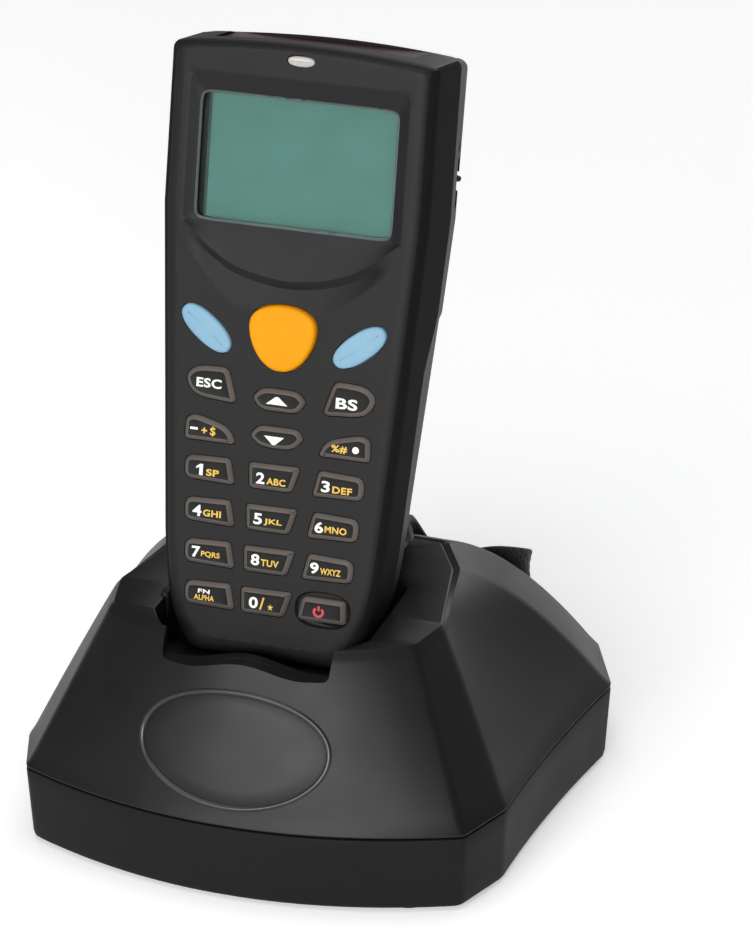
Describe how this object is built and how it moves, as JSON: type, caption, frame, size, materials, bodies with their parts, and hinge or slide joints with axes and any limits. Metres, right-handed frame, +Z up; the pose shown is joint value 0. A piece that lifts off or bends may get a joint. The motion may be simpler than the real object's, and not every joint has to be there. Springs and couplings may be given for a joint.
{
  "type": "portable barcode data terminal in a desk cradle",
  "caption": "Hand-held keypad data terminal with display and scan window, standing in a sloped charging cradle, with a woven wrist strap.",
  "frame": {"origin": "middle of the cradle's foot on the table", "axes": "+Z up, front of the cradle and the keypad towards -Y, +X to the viewer's right"},
  "size_m": [0.113, 0.1037, 0.1629],
  "materials": {
    "cradle_plastic": "fine spark-eroded texture",
    "case_plastic": "fine matte texture",
    "key_orange": "satin silicone",
    "key_blue": "satin silicone",
    "key_black": "satin",
    "window": "clear acrylic",
    "display": "grey-green reflective panel",
    "white_plastic": "satin",
    "light_lens": "milky",
    "red_window": "deep red acrylic",
    "board": "solder mask",
    "black_part": "satin",
    "steel": "satin",
    "cell": "printed sleeve",
    "gold": "gold plate",
    "mat": "matt",
    "ribbon": "flat cable",
    "strap": "fuzzy woven"
  },
  "bodies": {
    "cradle": {"cradle_top": "cradle_plastic", "cradle_base": "cradle_plastic", "cradle_board": "board", "contact_block": "black_part", "spring_pins": "gold", "cradle_ir_window": "red_window", "cradle_ribbon": "ribbon", "power_jack": "black_part", "data_socket": "black_part", "rubber_feet": "mat", "cradle_screws": "steel"},
    "terminal": {"front_case": "case_plastic", "rear_case": "case_plastic", "display_window": "window", "display_panel": "display", "display_frame": "white_plastic", "status_light_lens": "light_lens", "scan_window": "red_window", "scan_engine": "steel", "main_board": "board", "board_components": "black_part", "key_domes": "steel", "keypad_mat": "mat", "buzzer": "black_part", "backup_cell": "steel", "battery_cells": "cell", "cell_contacts": "steel", "door_hinge_pin": "steel", "case_screws": "steel", "charge_pads": "gold", "terminal_ir_window": "red_window", "strap_bar": "steel", "strap_loop": "strap", "strap_ferrule": "black_part", "wrist_strap": "strap"},
    "battery_door": {"battery_door": "case_plastic"},
    "key_scan_body": {"key_scan": "key_orange"},
    "key_left_body": {"key_left": "key_blue"},
    "key_right_body": {"key_right": "key_blue"},
    "key_esc_body": {"key_esc": "key_black"},
    "key_backspace_body": {"key_backspace": "key_black"},
    "key_up_body": {"key_up": "key_black"},
    "key_down_body": {"key_down": "key_black"},
    "key_minus_body": {"key_minus": "key_black"},
    "key_percent_body": {"key_percent": "key_black"},
    "key_1_body": {"key_1": "key_black"},
    "key_2_body": {"key_2": "key_black"},
    "key_3_body": {"key_3": "key_black"},
    "key_4_body": {"key_4": "key_black"},
    "key_5_body": {"key_5": "key_black"},
    "key_6_body": {"key_6": "key_black"},
    "key_7_body": {"key_7": "key_black"},
    "key_8_body": {"key_8": "key_black"},
    "key_9_body": {"key_9": "key_black"},
    "key_fn_body": {"key_fn": "key_black"},
    "key_0_body": {"key_0": "key_black"},
    "key_power_body": {"key_power": "key_black"}
  },
  "joints": [
    {"name": "terminal_lift", "type": "slide", "parent": "cradle", "child": "terminal", "axis": [0, 0.225, 0.9744], "range_m": [0, 0.06]},
    {"name": "battery_door_hinge", "type": "hinge", "parent": "terminal", "child": "battery_door", "pos_m": [0, -0.00346, 0.05675], "axis": [-1, 0, 0], "range_deg": [0, 70]},
    {"name": "key_scan_press", "type": "slide", "parent": "terminal", "child": "key_scan_body", "axis": [0, 0.9744, -0.225], "range_m": [0, 0.0008], "stiffness_N_per_m": 1800},
    {"name": "key_left_press", "type": "slide", "parent": "terminal", "child": "key_left_body", "axis": [0, 0.9744, -0.225], "range_m": [0, 0.0008], "stiffness_N_per_m": 1200},
    {"name": "key_right_press", "type": "slide", "parent": "terminal", "child": "key_right_body", "axis": [0, 0.9744, -0.225], "range_m": [0, 0.0008], "stiffness_N_per_m": 1200},
    {"name": "key_esc_press", "type": "slide", "parent": "terminal", "child": "key_esc_body", "axis": [0, 0.9744, -0.225], "range_m": [0, 0.0008], "stiffness_N_per_m": 1200},
    {"name": "key_backspace_press", "type": "slide", "parent": "terminal", "child": "key_backspace_body", "axis": [0, 0.9744, -0.225], "range_m": [0, 0.0008], "stiffness_N_per_m": 1200},
    {"name": "key_up_press", "type": "slide", "parent": "terminal", "child": "key_up_body", "axis": [0, 0.9744, -0.225], "range_m": [0, 0.0008], "stiffness_N_per_m": 1200},
    {"name": "key_down_press", "type": "slide", "parent": "terminal", "child": "key_down_body", "axis": [0, 0.9744, -0.225], "range_m": [0, 0.0008], "stiffness_N_per_m": 1200},
    {"name": "key_minus_press", "type": "slide", "parent": "terminal", "child": "key_minus_body", "axis": [0, 0.9744, -0.225], "range_m": [0, 0.0008], "stiffness_N_per_m": 1200},
    {"name": "key_percent_press", "type": "slide", "parent": "terminal", "child": "key_percent_body", "axis": [0, 0.9744, -0.225], "range_m": [0, 0.0008], "stiffness_N_per_m": 1200},
    {"name": "key_1_press", "type": "slide", "parent": "terminal", "child": "key_1_body", "axis": [0, 0.9744, -0.225], "range_m": [0, 0.0008], "stiffness_N_per_m": 1200},
    {"name": "key_2_press", "type": "slide", "parent": "terminal", "child": "key_2_body", "axis": [0, 0.9744, -0.225], "range_m": [0, 0.0008], "stiffness_N_per_m": 1200},
    {"name": "key_3_press", "type": "slide", "parent": "terminal", "child": "key_3_body", "axis": [0, 0.9744, -0.225], "range_m": [0, 0.0008], "stiffness_N_per_m": 1200},
    {"name": "key_4_press", "type": "slide", "parent": "terminal", "child": "key_4_body", "axis": [0, 0.9744, -0.225], "range_m": [0, 0.0008], "stiffness_N_per_m": 1200},
    {"name": "key_5_press", "type": "slide", "parent": "terminal", "child": "key_5_body", "axis": [0, 0.9744, -0.225], "range_m": [0, 0.0008], "stiffness_N_per_m": 1200},
    {"name": "key_6_press", "type": "slide", "parent": "terminal", "child": "key_6_body", "axis": [0, 0.9744, -0.225], "range_m": [0, 0.0008], "stiffness_N_per_m": 1200},
    {"name": "key_7_press", "type": "slide", "parent": "terminal", "child": "key_7_body", "axis": [0, 0.9744, -0.225], "range_m": [0, 0.0008], "stiffness_N_per_m": 1200},
    {"name": "key_8_press", "type": "slide", "parent": "terminal", "child": "key_8_body", "axis": [0, 0.9744, -0.225], "range_m": [0, 0.0008], "stiffness_N_per_m": 1200},
    {"name": "key_9_press", "type": "slide", "parent": "terminal", "child": "key_9_body", "axis": [0, 0.9744, -0.225], "range_m": [0, 0.0008], "stiffness_N_per_m": 1200},
    {"name": "key_fn_press", "type": "slide", "parent": "terminal", "child": "key_fn_body", "axis": [0, 0.9744, -0.225], "range_m": [0, 0.0008], "stiffness_N_per_m": 1200},
    {"name": "key_0_press", "type": "slide", "parent": "terminal", "child": "key_0_body", "axis": [0, 0.9744, -0.225], "range_m": [0, 0.0008], "stiffness_N_per_m": 1200},
    {"name": "key_power_press", "type": "slide", "parent": "terminal", "child": "key_power_body", "axis": [0, 0.9744, -0.225], "range_m": [0, 0.0008], "stiffness_N_per_m": 1200}
  ]
}
